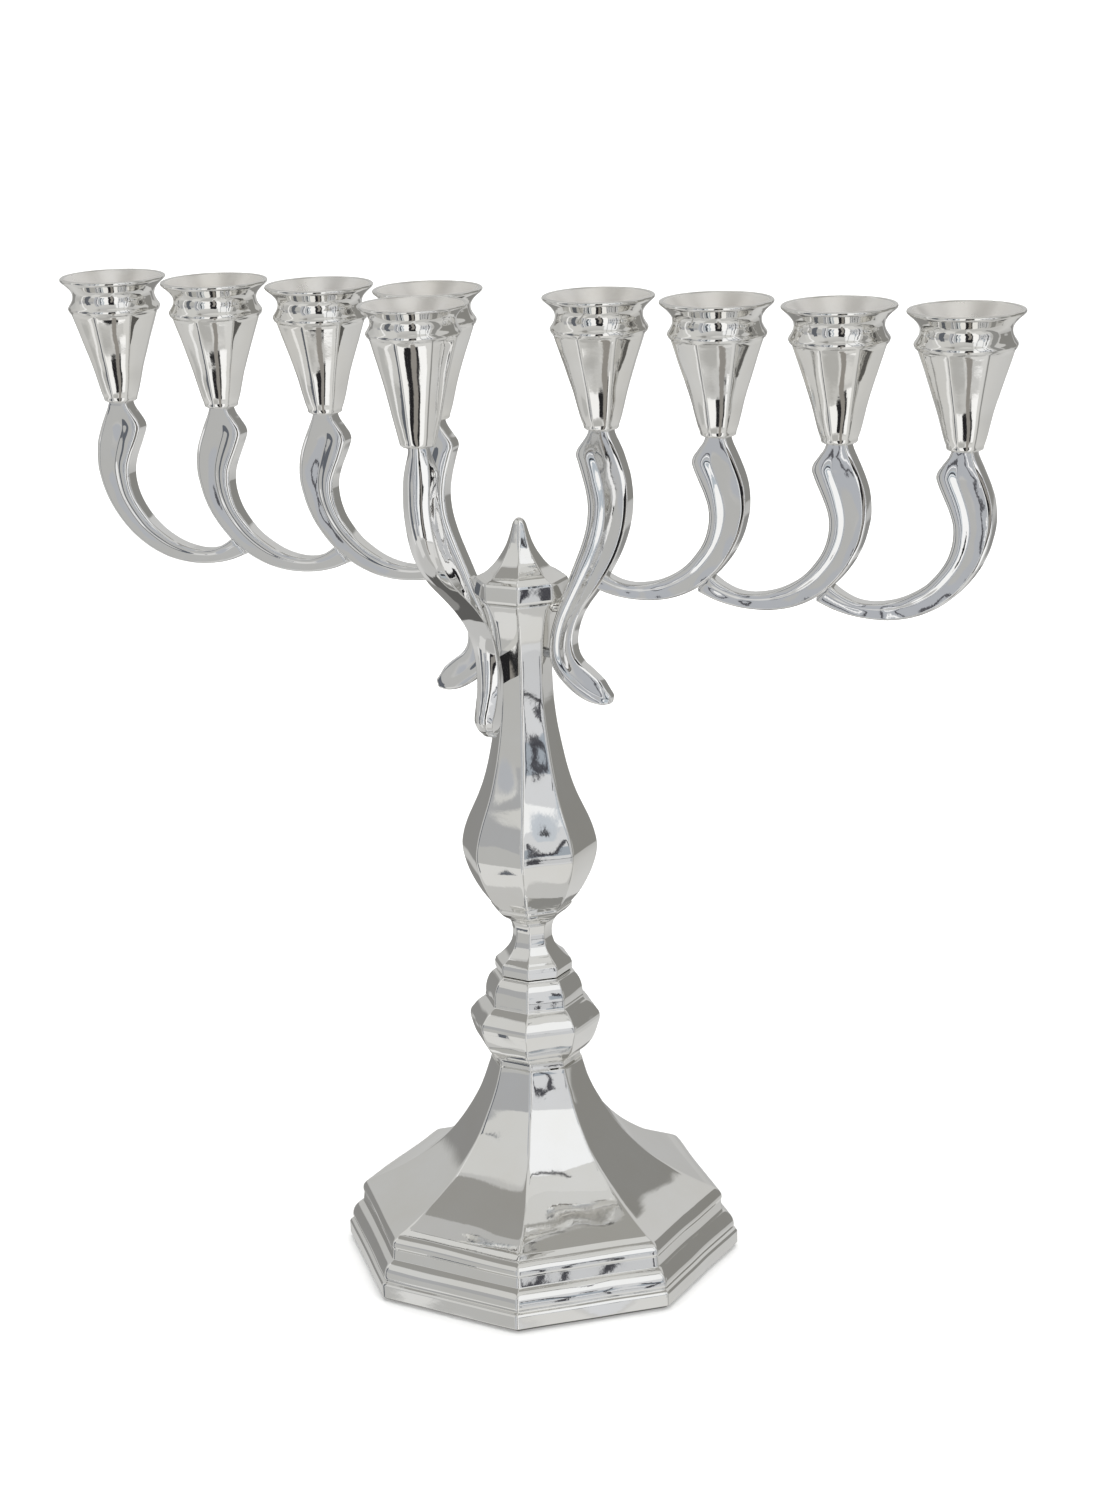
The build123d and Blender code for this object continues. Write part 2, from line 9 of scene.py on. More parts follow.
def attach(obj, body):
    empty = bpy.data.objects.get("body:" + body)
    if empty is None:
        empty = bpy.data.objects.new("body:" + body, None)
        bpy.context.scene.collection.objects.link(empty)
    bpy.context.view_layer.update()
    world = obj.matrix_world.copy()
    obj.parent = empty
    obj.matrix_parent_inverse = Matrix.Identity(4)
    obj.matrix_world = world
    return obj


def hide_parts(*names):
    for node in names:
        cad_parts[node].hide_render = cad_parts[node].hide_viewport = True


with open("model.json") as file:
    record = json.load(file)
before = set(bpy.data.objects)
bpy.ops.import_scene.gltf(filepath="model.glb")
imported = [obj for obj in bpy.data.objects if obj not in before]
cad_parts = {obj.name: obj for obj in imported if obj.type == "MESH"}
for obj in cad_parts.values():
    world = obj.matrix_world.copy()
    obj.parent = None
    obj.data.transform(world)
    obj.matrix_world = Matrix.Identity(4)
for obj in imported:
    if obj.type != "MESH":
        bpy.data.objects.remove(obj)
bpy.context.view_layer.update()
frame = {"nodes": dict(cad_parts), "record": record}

MM = 0.001

# ------------------------------------------------------------------ helpers


def catmull(points, steps):
    """A smooth path through the points, with the given number of steps between each two."""
    p = np.array(points, float)
    p = np.vstack([2 * p[0] - p[1], p, 2 * p[-1] - p[-2]])
    out = []
    for i in range(1, len(p) - 2):
        p0, p1, p2, p3 = p[i - 1], p[i], p[i + 1], p[i + 2]
        d01 = max(np.linalg.norm(p1 - p0), 1e-6) ** 0.5
        d12 = max(np.linalg.norm(p2 - p1), 1e-6) ** 0.5
        d23 = max(np.linalg.norm(p3 - p2), 1e-6) ** 0.5
        m1 = (p1 - p0) / d01 - (p2 - p0) / (d01 + d12) + (p2 - p1) / d12
        m2 = (p2 - p1) / d12 - (p3 - p1) / (d12 + d23) + (p3 - p2) / d23
        m1, m2 = m1 * d12, m2 * d12
        for k in range(steps):
            t = k / steps
            out.append((2 * t**3 - 3 * t**2 + 1) * p1 + (t**3 - 2 * t**2 + t) * m1
                       + (-2 * t**3 + 3 * t**2) * p2 + (t**3 - t**2) * m2)
    out.append(p[-2])
    return np.array(out)


def filleted(points, radius, arc=5, least=9.0):
    """A polyline with its corners rounded by short arcs."""
    p = [np.array(q, float) for q in points]
    out = [p[0]]
    for i in range(1, len(p) - 1):
        a, b, c = p[i - 1], p[i], p[i + 1]
        u, v = b - a, c - b
        lu, lv = np.linalg.norm(u), np.linalg.norm(v)
        if lu < 1e-6 or lv < 1e-6:
            out.append(b)
            continue
        u, v = u / lu, v / lv
        turn = math.degrees(math.acos(max(-1.0, min(1.0, float(u @ v)))))
        if turn < least:
            out.append(b)
            continue
        r = radius(b) if callable(radius) else radius
        t = min(r * math.tan(math.radians(turn) / 2), 0.42 * lu, 0.42 * lv)
        s, e = b - u * t, b + v * t
        for k in range(arc + 1):
            w = k / arc
            out.append((1 - w) ** 2 * s + 2 * w * (1 - w) * b + w**2 * e)
    out.append(p[-1])
    return np.array(out)


def divided(points, step):
    """Long stretches of a polyline cut up, so that light shading and undulation have vertices to sit on."""
    out = [points[0]]
    for a, b in zip(points[:-1], points[1:]):
        n = max(1, int(math.ceil(np.linalg.norm(b - a) / step)))
        for k in range(1, n + 1):
            out.append(a + (b - a) * k / n)
    return np.array(out)


class Swell:
    """Slow, seeded undulation of a hand-finished surface, in millimetres."""

    def __init__(self, seed, low, high, amount, n=14):
        rng = np.random.default_rng(seed)
        lam = np.exp(rng.uniform(math.log(low), math.log(high), n))
        way = rng.normal(size=(n, 3))
        way /= np.linalg.norm(way, axis=1)[:, None]
        self.k = way * (2 * math.pi / lam)[:, None]
        self.phase = rng.uniform(0, 2 * math.pi, n)
        self.a = amount * (lam / lam.mean()) / math.sqrt(n)

    def __call__(self, p):
        return (np.sin(p @ self.k.T + self.phase) * self.a).sum(1)


def mesh_from_rings(name, rings, cap_low=True, cap_high=True, low_point=None, high_point=None):
    """Quads between closed rings of equal count. A cap closes an end onto one point."""
    n = len(rings[0])
    bm = bmesh.new()
    rows = [[bm.verts.new(Vector(p) * MM) for p in ring] for ring in rings]
    for a, b in zip(rows[:-1], rows[1:]):
        for i in range(n):
            j = (i + 1) % n
            bm.faces.new((a[i], a[j], b[j], b[i]))
    if cap_low:
        c = bm.verts.new(Vector(low_point if low_point is not None else np.mean(rings[0], 0)) * MM)
        for i in range(n):
            bm.faces.new((rows[0][(i + 1) % n], rows[0][i], c))
    if cap_high:
        c = bm.verts.new(Vector(high_point if high_point is not None else np.mean(rings[-1], 0)) * MM)
        for i in range(n):
            bm.faces.new((rows[-1][i], rows[-1][(i + 1) % n], c))
    bmesh.ops.recalc_face_normals(bm, faces=bm.faces)
    mesh = bpy.data.meshes.new(name)
    bm.to_mesh(mesh)
    bm.free()
    for p in mesh.polygons:
        p.use_smooth = True
    obj = bpy.data.objects.new(name, mesh)
    bpy.context.scene.collection.objects.link(obj)
    w = obj.modifiers.new("even_normals", "WEIGHTED_NORMAL")
    w.mode = "FACE_AREA"
    w.weight = 60
    w.keep_sharp = False
    return obj


def octagon_angles(radius, round_mm, flat_steps):
    """Angles round an octagon, close together at the rounded corners and even along the flats."""
    a = min(0.41 * round_mm / radius, 0.06)
    near = np.array([-3.2, -2.0, -1.3, -0.8, -0.35, 0.0, 0.35, 0.8, 1.3, 2.0, 3.2]) * a
    side = math.pi / 4
    flat = near[-1] + (side - 2 * near[-1]) * np.arange(1, flat_steps) / flat_steps
    one = np.concatenate([near, flat])
    return np.concatenate([one + side * k for k in range(8)])


def octagon_radius(angle, radius, round_mm):
    """Polar radius of an octagon with softly rounded corners; a corner lies at angle 0."""
    apothem = radius * math.cos(math.pi / 8)
    p = 8.4 * radius / round_mm
    total = np.zeros_like(angle)
    for k in range(8):
        c = np.cos(angle - (k + 0.5) * math.pi / 4)
        total += np.where(c > 0.5, np.maximum(c, 1e-6) / 0.9239, 0.0) ** p
    return apothem / 0.9239 * total ** (-1.0 / p)


def stacked(name, profile, clock, round_mm, swell, flat_steps=7, roundness=None, centre=(0.0, 0.0),
            cap_low=True, cap_high=True, skip_swell=None):
    """An upright eight-sided turning. profile holds (circumradius, height); roundness 0 is an octagon, 1 a circle."""
    rings = []
    for i, (r, z) in enumerate(profile):
        soft = round_mm(r, z) if callable(round_mm) else round_mm
        soft = min(soft, r * 0.5)
        ang = octagon_angles(max(r, 0.3), soft, flat_steps)
        rad = octagon_radius(ang, r, soft)
        if roundness is not None:
            w = roundness(r, z, i)
            rad = rad * (1 - w) + r * w
        t = ang + math.radians(clock)
        ring = np.stack([centre[0] + rad * np.cos(t), centre[1] + rad * np.sin(t), np.full_like(t, z)], 1)
        if swell is not None:
            push = swell(ring)
            if skip_swell is not None:
                push = push * skip_swell(r, z, i)
            ring[:, 0] += push * np.cos(t)
            ring[:, 1] += push * np.sin(t)
        rings.append(ring)
    return mesh_from_rings(name, rings, cap_low, cap_high)


# ------------------------------------------------------------------ materials


def node_material(name):
    m = bpy.data.materials.new(name)
    m.use_nodes = True
    return m, m.node_tree.nodes, m.node_tree.links, m.node_tree.nodes["Principled BSDF"]


def silver(name, tint, rough, smudge, scratch, tarnish):
    """Polished silver: soft smudges in the gloss, hair-fine wiping marks, a faint warm film in places."""
    m, n, l, b = node_material(name)
    b.inputs["Metallic"].default_value = 1.0
    tc = n.new("ShaderNodeTexCoord")
    film = n.new("ShaderNodeTexNoise")
    film.inputs["Scale"].default_value = 38.0
    film.inputs["Detail"].default_value = 6.0
    film.inputs["Roughness"].default_value = 0.62
    l.new(tc.outputs["Object"], film.inputs["Vector"])
    ramp = n.new("ShaderNodeValToRGB")
    ramp.color_ramp.elements[0].position = 0.35
    ramp.color_ramp.elements[0].color = (*tint, 1)
    ramp.color_ramp.elements[1].position = 0.72
    ramp.color_ramp.elements[1].color = (tint[0] * (1 - tarnish * 0.6), tint[1] * (1 - tarnish * 0.8),
                                         tint[2] * (1 - tarnish * 1.25), 1)
    l.new(film.outputs["Fac"], ramp.inputs["Fac"])
    l.new(ramp.outputs["Color"], b.inputs["Base Color"])
    # smudges of the gloss
    sm = n.new("ShaderNodeTexNoise")
    sm.inputs["Scale"].default_value = 95.0
    sm.inputs["Detail"].default_value = 5.0
    sm.inputs["Roughness"].default_value = 0.55
    sm.inputs["Distortion"].default_value = 0.6
    l.new(tc.outputs["Object"], sm.inputs["Vector"])
    rg = n.new("ShaderNodeMapRange")
    rg.inputs["From Min"].default_value = 0.3
    rg.inputs["From Max"].default_value = 0.75
    rg.inputs["To Min"].default_value = rough
    rg.inputs["To Max"].default_value = rough + smudge
    l.new(sm.outputs["Fac"], rg.inputs["Value"])
    l.new(rg.outputs["Result"], b.inputs["Roughness"])
    # fine wiping marks and a slow ripple left by hand polishing
    st = n.new("ShaderNodeMapping")
    st.inputs["Rotation"].default_value = (0.35, 0.6, 0.2)
    st.inputs["Scale"].default_value = (900.0, 140.0, 900.0)
    l.new(tc.outputs["Object"], st.inputs["Vector"])
    sc = n.new("ShaderNodeTexNoise")
    sc.inputs["Scale"].default_value = 1.0
    sc.inputs["Detail"].default_value = 3.0
    l.new(st.outputs["Vector"], sc.inputs["Vector"])
    b1 = n.new("ShaderNodeBump")
    b1.inputs["Strength"].default_value = scratch
    b1.inputs["Distance"].default_value = 0.00002
    l.new(sc.outputs["Fac"], b1.inputs["Height"])
    rp = n.new("ShaderNodeTexNoise")
    rp.inputs["Scale"].default_value = 160.0
    rp.inputs["Detail"].default_value = 2.0
    l.new(tc.outputs["Object"], rp.inputs["Vector"])
    b2 = n.new("ShaderNodeBump")
    b2.inputs["Strength"].default_value = 0.05
    b2.inputs["Distance"].default_value = 0.00025
    l.new(rp.outputs["Fac"], b2.inputs["Height"])
    l.new(b1.outputs["Normal"], b2.inputs["Normal"])
    l.new(b2.outputs["Normal"], b.inputs["Normal"])
    return m


def hardware_steel(name):
    m, n, l, b = node_material(name)
    b.inputs["Metallic"].default_value = 1.0
    tc = n.new("ShaderNodeTexCoord")
    mp = n.new("ShaderNodeMapping")
    mp.inputs["Scale"].default_value = (300.0, 300.0, 2600.0)
    l.new(tc.outputs["Object"], mp.inputs["Vector"])
    no = n.new("ShaderNodeTexNoise")
    no.inputs["Scale"].default_value = 1.0
    no.inputs["Detail"].default_value = 4.0
    l.new(mp.outputs["Vector"], no.inputs["Vector"])
    cr = n.new("ShaderNodeValToRGB")
    cr.color_ramp.elements[0].color = (0.34, 0.35, 0.36, 1)
    cr.color_ramp.elements[1].color = (0.58, 0.59, 0.61, 1)
    l.new(no.outputs["Fac"], cr.inputs["Fac"])
    l.new(cr.outputs["Color"], b.inputs["Base Color"])
    rg = n.new("ShaderNodeMapRange")
    rg.inputs["To Min"].default_value = 0.28
    rg.inputs["To Max"].default_value = 0.48
    l.new(no.outputs["Fac"], rg.inputs["Value"])
    l.new(rg.outputs["Result"], b.inputs["Roughness"])
    bp = n.new("ShaderNodeBump")
    bp.inputs["Strength"].default_value = 0.3
    bp.inputs["Distance"].default_value = 0.00005
    l.new(no.outputs["Fac"], bp.inputs["Height"])
    l.new(bp.outputs["Normal"], b.inputs["Normal"])
    return m


def rough_cloth(name, low, high, scale, rough):
    m, n, l, b = node_material(name)
    tc = n.new("ShaderNodeTexCoord")
    no = n.new("ShaderNodeTexNoise")
    no.inputs["Scale"].default_value = scale
    no.inputs["Detail"].default_value = 8.0
    no.inputs["Roughness"].default_value = 0.7
    l.new(tc.outputs["Object"], no.inputs["Vector"])
    cr = n.new("ShaderNodeValToRGB")
    cr.color_ramp.elements[0].position = 0.3
    cr.color_ramp.elements[0].color = (*low, 1)
    cr.color_ramp.elements[1].position = 0.75
    cr.color_ramp.elements[1].color = (*high, 1)
    l.new(no.outputs["Fac"], cr.inputs["Fac"])
    l.new(cr.outputs["Color"], b.inputs["Base Color"])
    b.inputs["Roughness"].default_value = rough
    bp = n.new("ShaderNodeBump")
    bp.inputs["Strength"].default_value = 0.6
    bp.inputs["Distance"].default_value = 0.0003
    l.new(no.outputs["Fac"], bp.inputs["Height"])
    l.new(bp.outputs["Normal"], b.inputs["Normal"])
    return m


SILVER = silver("polished_silver", (0.905, 0.904, 0.895), 0.02, 0.035, 0.25, 0.05)
SILVER_CUP = silver("polished_silver_cup", (0.88, 0.876, 0.862), 0.028, 0.045, 0.3, 0.06)
SILVER_INSIDE = silver("satin_silver_inside", (0.93, 0.915, 0.895), 0.26, 0.10, 0.4, 0.08)
SILVER_ARM = silver("polished_silver_arm", (0.89, 0.892, 0.895), 0.018, 0.03, 0.3, 0.05)
SILVER_INSIDE.node_tree.nodes["Principled BSDF"].inputs["Metallic"].default_value = 0.9
STEEL = hardware_steel("hardware_steel")
FELT = rough_cloth("black_felt", (0.010, 0.010, 0.011), (0.045, 0.045, 0.048), 1400.0, 0.95)
IRON = rough_cloth("cast_weight", (0.05, 0.05, 0.052), (0.12, 0.118, 0.115), 500.0, 0.8)


def paint(obj, material):
    obj.data.materials.clear()
    obj.data.materials.append(material)


def stands_for(obj, node, body, material):
    paint(obj, material)
    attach(obj, body)
    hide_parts(node)


# ------------------------------------------------------------------ foot and stem

FOOT_CLOCK, KNOP_CLOCK, COLUMN_CLOCK, FINIAL_CLOCK = 17.9, 16.8, 19.4, 20.9

foot_mould = [
    (67.0, 0.45), (68.9, 0.45), (70.4, 1.7), (70.4, 6.1), (69.9, 6.8), (68.8, 7.35),
]
foot_torus = catmull([(68.8, 7.5), (69.15, 8.4), (69.0, 10.2), (68.2, 12.0), (66.9, 13.4), (65.6, 14.2)], 4)
foot_riser = [(65.1, 14.5), (65.0, 15.2), (64.7, 18.0), (65.0, 18.8)]
foot_lip = catmull([(65.05, 19.2), (64.85, 20.4), (64.0, 21.6), (62.5, 22.7), (60.7, 23.45), (59.2, 24.0)], 4)
foot_skirt = catmull([
    (59.2, 24.0), (53.2, 27.0), (48.0, 30.0), (43.4, 33.0), (39.3, 36.0), (35.8, 39.0), (32.8, 42.0),
    (30.2, 45.0), (27.9, 48.0), (25.8, 51.0), (23.9, 54.0), (22.2, 57.0), (20.6, 60.0), (19.3, 63.0),
    (18.1, 66.0), (17.1, 69.0), (16.3, 71.5), (16.1, 72.5),
], 3)
profile = np.vstack([foot_mould, foot_torus, foot_riser, foot_lip, foot_skirt[1:]])
profile = divided(filleted(profile, 0.45), 1.6)
foot = stacked("foot", profile, FOOT_CLOCK, lambda r, z: 1.5 if z < 24 else 1.5 + 0.5 * (72 - z) / 48,
               Swell(11, 13.0, 42.0, 0.16), flat_steps=12, cap_low=False)
stands_for(foot, "foot_shell", "frame", SILVER)

knop_profile = np.vstack([
    [(15.9, 72.5), (15.6, 74.4), (15.9, 75.3)],
    catmull([(16.2, 75.5), (17.5, 76.4), (19.8, 79.0), (21.4, 82.0), (22.6, 85.6)], 3),
    [(23.0, 86.9), (23.15, 88.2), (23.05, 89.2)],
    catmull([(22.7, 90.1), (21.2, 92.0), (19.6, 93.6), (17.9, 94.8)], 3),
    [(17.45, 95.2), (17.5, 95.9)],
    catmull([(17.35, 96.4), (17.2, 98.8), (16.6, 101.2), (15.6, 103.3), (14.3, 104.7)], 3),
    [(13.4, 105.0), (13.1, 105.5)],
])
knop = stacked("knop_body", divided(filleted(knop_profile, 0.45), 1.2), KNOP_CLOCK, 0.9,
               Swell(12, 7.0, 22.0, 0.08), flat_steps=8)
stands_for(knop, "knop", "frame", SILVER)

spool_profile = np.vstack([
    [(13.1, 105.5), (13.65, 106.2), (13.75, 108.4), (13.3, 109.7)],
    catmull([(12.7, 110.3), (11.3, 111.4), (9.3, 113.4), (7.9, 115.4), (7.15, 117.6), (6.95, 119.6),
             (7.1, 121.4), (7.6, 123.4), (8.7, 125.2), (10.2, 126.5)], 3),
])
spool = stacked("spool_body", divided(filleted(spool_profile, 0.4), 0.9), KNOP_CLOCK, 0.8,
                Swell(13, 7.0, 18.0, 0.045), flat_steps=7)
stands_for(spool, "spool", "frame", SILVER)

column_profile = np.vstack([
    [(10.2, 126.5)],
    catmull([(10.5, 126.7), (11.8, 127.5), (13.3, 128.8), (14.15, 129.8), (14.4, 130.4)], 3),
    [(14.15, 130.75), (14.45, 131.1)],
    catmull([
        (14.8, 131.5), (16.6, 133.6), (18.5, 136.6), (20.2, 139.8), (21.7, 143.2), (22.8, 146.6), (23.5, 150.0),
        (23.6, 152.4), (23.2, 155.0), (22.3, 158.4), (20.9, 162.2), (19.2, 166.0), (17.4, 170.0), (15.8, 174.2),
        (14.4, 178.6), (13.2, 183.2), (12.2, 188.2), (11.3, 193.6), (10.6, 199.6), (10.1, 206.0), (9.8, 213.0),
        (9.9, 220.0), (10.5, 226.6), (11.6, 232.2), (13.1, 236.6), (14.9, 240.0),
    ], 3),
])
column = stacked("column_body", divided(filleted(column_profile, 0.4), 1.6), COLUMN_CLOCK,
                 lambda r, z: 1.6, Swell(14, 10.0, 34.0, 0.13), flat_steps=8)
stands_for(column, "column", "frame", SILVER)

finial_profile = np.vstack([
    [(3.1, 240.05), (14.9, 240.05), (15.9, 240.6), (16.1, 241.4), (16.1, 246.0), (15.7, 246.9), (14.5, 247.5)],
    catmull([(14.1, 247.7), (12.3, 248.6), (10.2, 250.4), (8.5, 252.2), (7.0, 254.2), (5.7, 256.2), (4.6, 258.4),
             (3.7, 260.8), (3.0, 263.0), (2.35, 265.2), (1.75, 266.3), (1.0, 267.0), (0.35, 267.15)], 3),
])
finial = stacked("finial_spire", divided(filleted(finial_profile, 0.5), 0.9), FINIAL_CLOCK, 0.9,
                 Swell(15, 7.0, 20.0, 0.07), flat_steps=7, cap_low=False,
                 skip_swell=lambda r, z, i: min(1.0, r / 8.0))
stands_for(finial, "finial", "finial", SILVER)

# ------------------------------------------------------------------ candle cups

CUP_X = (31.0, 72.1, 113.2, 154.3)
CUP_SEAT, SHAMASH_Y, SHAMASH_SEAT = 298.8, -70.5, 304.8


def cup(name, node, x, y, seat, clock, cone, out, rim, inside, bore_r, seed):
    cone_s = catmull(cone, 3)
    n_cone = len(cone_s)
    outer = catmull(out, 4)[1:]
    lip = catmull(rim, 4)
    inn = catmull(inside, 5)[1:]
    bore_top = inside[-1][1] - 0.6
    floor = bore_top - 12.0
    bore = divided(np.array([(bore_r, bore_top), (bore_r, floor + 0.6)]), 2.0)
    bottom = [(bore_r - 0.2, floor + 0.15), (bore_r - 0.7, floor), (bore_r * 0.55, floor), (0.6, floor)]
    profile = np.vstack([[(2.06, 0.15)], cone_s, outer, lip, inn, bore, bottom])
    top = cone[-1][1]

    def roundness(r, z, i):
        if i < 1 or i > n_cone - 2:
            return 1.0
        low = max(0.0, 1.0 - (z - cone[0][1]) / 1.6)
        high = max(0.0, 1.0 - (top - z) / 1.0)
        return min(1.0, 0.42 + 0.58 * max(low, high))

    shifted = profile.copy()
    shifted[:, 1] += seat
    obj = stacked(name, shifted, clock, 1.6, Swell(seed, 6.0, 20.0, 0.05, 10), flat_steps=5,
                  roundness=lambda r, z, i: roundness(r, z - seat, i), centre=(x, y), cap_low=False,
                  skip_swell=lambda r, z, i: 1.0 if 2 < i < len(shifted) - 12 else 0.0)
    around = 8 * (11 + 5 - 1)
    stands_for(obj, node, node, SILVER_CUP)
    obj.data.materials.append(SILVER_INSIDE)
    first_inside = 1 + n_cone + len(outer) + len(lip) - 3
    for k, p in enumerate(obj.data.polygons):
        if k // around >= first_inside:
            p.material_index = 1
    return obj


CUP_CONE = [(5.0, 0.15), (5.8, 0.6), (6.25, 1.8), (7.0, 3.9), (8.0, 7.5), (9.2, 12.2), (10.85, 17.5), (12.85, 23.5),
            (14.55, 28.5), (15.6, 31.6), (15.85, 32.6)]
CUP_OUT = [(15.85, 32.6), (16.1, 33.2), (15.95, 33.8), (15.1, 35.1), (14.45, 36.5), (14.3, 37.6), (14.55, 38.9),
           (15.35, 40.2), (16.6, 41.5), (17.65, 42.4)]
CUP_RIM = [(18.15, 42.85), (18.4, 43.35), (18.25, 43.85), (17.75, 44.1), (17.1, 44.0), (16.5, 43.5)]
CUP_IN = [(16.5, 43.5), (13.9, 40.8), (11.8, 38.6), (10.5, 36.9)]
SHAM_CONE = [(5.0, 0.15), (5.8, 0.8), (6.3, 2.2), (6.95, 5.0), (7.8, 8.6), (8.85, 13.4), (10.3, 19.6), (11.95, 25.6),
             (13.5, 31.0), (14.4, 34.2), (14.65, 35.0)]
SHAM_OUT = [(14.65, 35.0), (14.9, 35.5), (14.75, 36.1), (14.0, 37.3), (13.5, 38.4), (13.45, 39.3), (13.75, 40.5),
            (14.6, 41.7), (15.7, 42.7), (16.5, 43.3)]
SHAM_RIM = [(16.95, 43.65), (17.15, 44.0), (17.0, 44.35), (16.6, 44.45), (16.1, 44.3), (15.6, 43.9)]
SHAM_IN = [(15.6, 43.9), (13.2, 41.4), (11.1, 39.4), (10.0, 37.8)]

for k, cx in enumerate(CUP_X, start=1):
    cup(f"cup_right_{k}", f"right_cup_{k}", cx, 0.0, CUP_SEAT, -2.5, CUP_CONE, CUP_OUT, CUP_RIM, CUP_IN, 10.0, 30 + k)
    cup(f"cup_left_{k}", f"left_cup_{k}", -cx, 0.0, CUP_SEAT, 7.5, CUP_CONE, CUP_OUT, CUP_RIM, CUP_IN, 10.0, 40 + k)
cup("cup_shamash", "shamash_cup", 0.0, SHAMASH_Y, SHAMASH_SEAT, 5.0, SHAM_CONE, SHAM_OUT, SHAM_RIM, SHAM_IN, 9.5, 50)

# ------------------------------------------------------------------ arms
# Each station is (inner edge, outer edge, thickness) in the arm's own plane.

C_ARM = [
    ((-3.6, 298.8), (3.6, 298.8), 6.6), ((-4.5, 296.8), (4.2, 296.8), 6.8), ((-6.3, 294.4), (5.2, 294.6), 7.0),
    ((-8.1, 291.8), (6.6, 291.6), 7.0), ((-8.5, 290.1), (7.3, 290.0), 7.0), ((-7.9, 288.0), (8.2, 287.8), 7.0),
    ((-6.2, 284.0), (9.4, 284.0), 7.0), ((-4.4, 280.0), (10.0, 279.4), 7.0), ((-3.1, 276.0), (9.9, 275.0), 7.0),
    ((-2.8, 272.0), (9.2, 271.5), 6.9), ((-3.4, 268.0), (7.9, 267.0), 6.8), ((-5.0, 263.6), (5.6, 262.0), 6.7),
    ((-7.8, 259.4), (2.3, 257.1), 6.6), ((-11.5, 255.4), (-2.2, 252.2), 6.4), ((-16.0, 252.2), (-8.2, 247.8), 6.2),
    ((-21.0, 249.7), (-15.5, 244.5), 6.0), ((-26.0, 248.3), (-23.0, 242.9), 5.9), ((-31.0, 247.8), (-30.0, 242.7), 5.8),
    ((-35.5, 248.4), (-36.6, 243.4), 5.9), ((-39.8, 250.3), (-42.6, 244.9), 6.0), ((-43.2, 252.6), (-48.2, 247.2), 6.0),
]
S_ARM = [
    ((27.4, 298.8), (34.6, 298.8), 6.6), ((26.5, 296.8), (35.2, 296.8), 6.8), ((24.8, 294.4), (36.3, 294.5), 7.0),
    ((22.9, 291.8), (37.7, 291.6), 7.0), ((22.5, 290.1), (38.3, 290.0), 7.0), ((23.1, 288.0), (39.0, 288.0), 7.0),
    ((24.4, 283.6), (40.2, 283.8), 7.0), ((25.5, 279.4), (40.8, 279.0), 7.0), ((26.2, 275.0), (40.9, 274.6), 7.0),
    ((26.2, 270.5), (40.4, 270.0), 7.0), ((25.5, 265.8), (39.4, 265.4), 7.0), ((23.9, 260.6), (37.6, 260.2), 6.9),
    ((21.7, 255.2), (35.2, 255.0), 6.8), ((19.1, 249.2), (31.8, 249.2), 6.8), ((16.5, 243.0), (27.8, 243.4), 6.8),
    ((14.2, 237.0), (24.2, 238.6), 6.7), ((12.3, 231.5), (21.6, 233.9), 6.6), ((11.1, 226.5), (20.1, 229.2), 6.5),
    ((10.7, 221.5), (19.7, 225.0), 6.4), ((11.3, 217.8), (20.4, 221.5), 6.3), ((13.2, 214.3), (22.4, 218.7), 6.2),
    ((16.4, 210.8), (24.9, 216.8), 6.0), ((20.1, 207.8), (27.2, 215.0), 5.8), ((24.5, 205.7), (29.4, 213.0), 5.4),
    ((29.0, 204.9), (31.2, 210.4), 4.8), ((31.9, 205.3), (32.7, 208.4), 3.8),
]
F_ARM = [
    ((66.9, 304.8), (73.9, 304.8), 6.8), ((65.9, 302.2), (74.1, 302.2), 7.2), ((64.1, 299.2), (74.7, 299.2), 8.2),
    ((61.9, 295.6), (75.4, 295.6), 9.2), ((61.3, 293.6), (75.8, 293.0), 9.5), ((61.7, 291.4), (76.0, 290.6), 9.6),
    ((62.5, 286.4), (76.1, 286.4), 9.6), ((61.6, 281.0), (75.5, 281.0), 9.6), ((59.2, 275.2), (74.0, 275.0), 9.6),
    ((55.4, 268.4), (71.2, 269.0), 9.5), ((50.8, 261.6), (67.2, 263.8), 9.4), ((45.4, 254.4), (60.6, 257.8), 9.2),
    ((39.6, 247.0), (52.0, 251.6), 9.0), ((33.6, 239.6), (43.6, 245.6), 8.8), ((28.2, 232.0), (36.6, 239.2), 8.6),
    ((24.0, 224.6), (32.2, 231.6), 8.4), ((21.8, 217.6), (30.4, 222.6), 8.2), ((21.6, 211.0), (30.8, 214.8), 8.0),
    ((22.5, 205.6), (33.0, 209.6), 7.6), ((22.9, 201.2), (34.7, 205.4), 7.0), ((24.4, 198.9), (33.2, 201.9), 5.6),
    ((26.4, 198.2), (30.4, 199.6), 4.0),
]


def rounded_outline(corners, arc):
    """A closed outline from (x, y, rounding) corners, with the same number of points at every corner."""
    out = []
    m = len(corners)
    for i in range(m):
        a, b, c = (np.array(corners[j % m][:2], float) for j in (i - 1, i, i + 1))
        u, v = a - b, c - b
        lu, lv = np.linalg.norm(u), np.linalg.norm(v)
        t = min(corners[i][2], 0.46 * lu, 0.46 * lv)
        s, e = b + u / lu * t, b + v / lv * t
        for k in range(arc):
            w = k / (arc - 1)
            out.append((1 - w) ** 2 * s + 2 * w * (1 - w) * b + w**2 * e)
        out.append((e + c + (b - c) / lv * min(corners[(i + 1) % m][2], 0.46 * lv)) / 2)
    return np.array(out)


